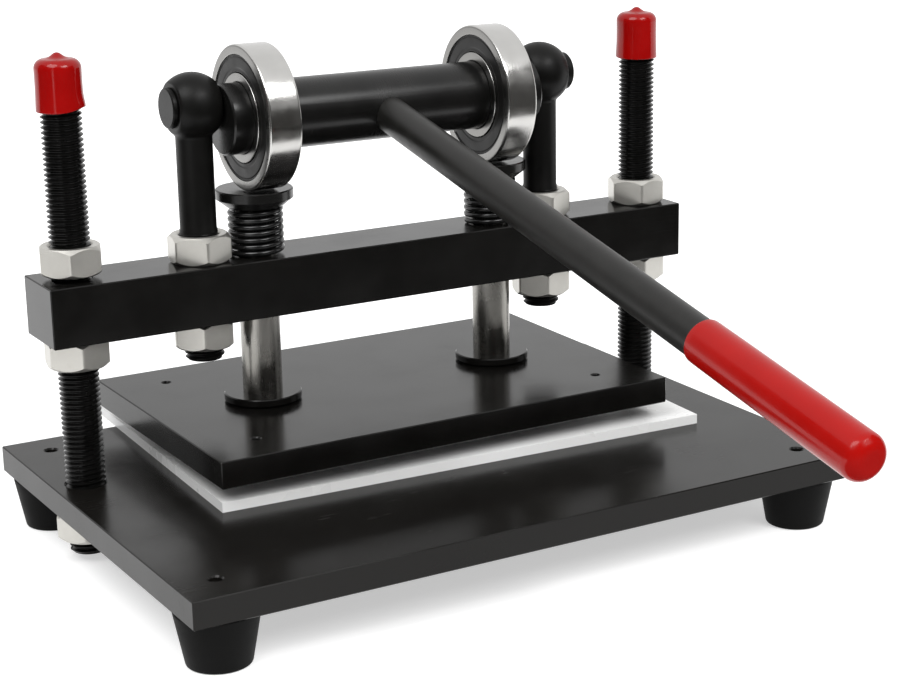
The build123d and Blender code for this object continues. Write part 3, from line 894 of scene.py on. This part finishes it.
distance = shader_node(tree, "VectorMath", {0: place}, operation="LENGTH")
ramp = shader_node(
    tree,
    "MapRange",
    {"Value": distance.outputs["Value"], "From Min": 0.3, "From Max": 1.1, "To Min": 0.5, "To Max": 1.0},
)
strength = shader_node(
    tree, "Math", {0: seen.outputs["Value"], 1: ramp.outputs["Result"]}, operation="MULTIPLY"
)
glow = shader_node(tree, "Emission", {"Color": (1, 1, 1, 1), "Strength": strength.outputs["Value"]})
total = shader_node(tree, "AddShader", {0: surface.outputs["BSDF"], 1: glow.outputs["Emission"]})
tree.links.new(total.outputs["Shader"], tree.nodes["Material Output"].inputs["Surface"])
floor_mesh.materials.append(bench_white)

world = bpy.data.worlds.new("white_room")
bpy.context.scene.world = world
world.use_nodes = True
tree = world.node_tree
air = tree.nodes["Background"]
air.inputs["Color"].default_value = (1, 1, 1, 1)
rays = shader_node(tree, "LightPath")
seen = shader_node(
    tree, "Math", {0: rays.outputs["Is Camera Ray"], 1: rays.outputs["Is Glossy Ray"]}, operation="MAXIMUM"
)
seen = shader_node(
    tree, "Math", {0: seen.outputs["Value"], 1: rays.outputs["Is Transmission Ray"]}, operation="MAXIMUM"
)
level = shader_node(tree, "MapRange", {"Value": seen.outputs["Value"], "To Min": 0.5, "To Max": 1.0})
tree.links.new(level.outputs["Result"], air.inputs["Strength"])


# Lights
# Two soft lamps high on the left and in front. A dark sheet starts 17 cm in front of the base
# plate and rises behind the camera, and a dark wall stands on the left. The metal mirrors both,
# and the strip of white bench before the sheet is the bright patch low on the bearings' rims.
def softbox(name, place, target, size, power):
    """Square lamp at a place, facing a target."""
    lamp = bpy.data.lights.new(name, "AREA")
    lamp.shape = "SQUARE"
    lamp.size = size
    lamp.energy = power
    holder = bpy.data.objects.new(name, lamp)
    holder.location = place
    holder.rotation_euler = (Vector(target) - Vector(place)).to_track_quat("-Z", "Y").to_euler()
    bpy.context.scene.collection.objects.link(holder)


softbox("key", (-1.1, -0.5, 1.7), (0, 0.1, 0.1), 1.2, 25)
softbox("fill", (0.45, -1.45, 1.55), (0, 0.1, 0.05), 1.0, 27)

screen_black = bpy.data.materials.new("screen_black")
screen_black.use_nodes = True
screen_black.node_tree.nodes["Principled BSDF"].inputs["Base Color"].default_value = (0.055, 0.053, 0.05, 1)
screen_black.node_tree.nodes["Principled BSDF"].inputs["Roughness"].default_value = 1.0
base_half_width, strip_end, sheet_radius, wall_radius = 0.19, -0.2, 0.62, 0.95
swing = np.radians(np.linspace(-150, -14, 25))
near_edge = np.stack([np.linspace(-base_half_width, base_half_width, 25), np.full(25, strip_end)], 1)
far_edge = sheet_radius * np.stack([np.cos(swing), np.sin(swing)], 1)
on_floor = [near_edge, (near_edge + far_edge) / 2, far_edge]
front_rows = [np.column_stack([row, np.full(25, 0.0004)]) for row in on_floor]
front_rows += [np.column_stack([far_edge, np.full(25, rise)]) for rise in (0.2, 0.4, 0.6, 0.75)]
swing = np.radians(np.linspace(-218, -150, 13))
left_arc = wall_radius * np.stack([np.cos(swing), np.sin(swing)], 1)
left_rows = [np.column_stack([left_arc, np.full(13, rise)]) for rise in (0.0004, 0.3, 0.6, 0.9)]
for screen_name, rows in (("front_screen", front_rows), ("left_screen", left_rows)):
    screen = skin(screen_name, np.stack(rows))
    screen.data.materials.append(screen_black)
    screen.visible_camera = False
    screen.visible_diffuse = False
    screen.visible_shadow = False


# Camera
# Long lens at the height of the lever, a third of the way round to the left.
lens = bpy.data.cameras.new("camera")
lens.lens = 83.9
lens.sensor_width = 36
lens.shift_x = -0.1413
lens.shift_y = 0.0105
lens.clip_end = 30
camera = bpy.data.objects.new("camera", lens)
camera.location = (-0.4904, -0.80393, 0.38301)
camera.rotation_euler = Euler((radians(74.214), radians(0.105), radians(-32.959)))
bpy.context.scene.collection.objects.link(camera)
bpy.context.scene.camera = camera
bpy.context.scene.view_settings.view_transform = "Standard"
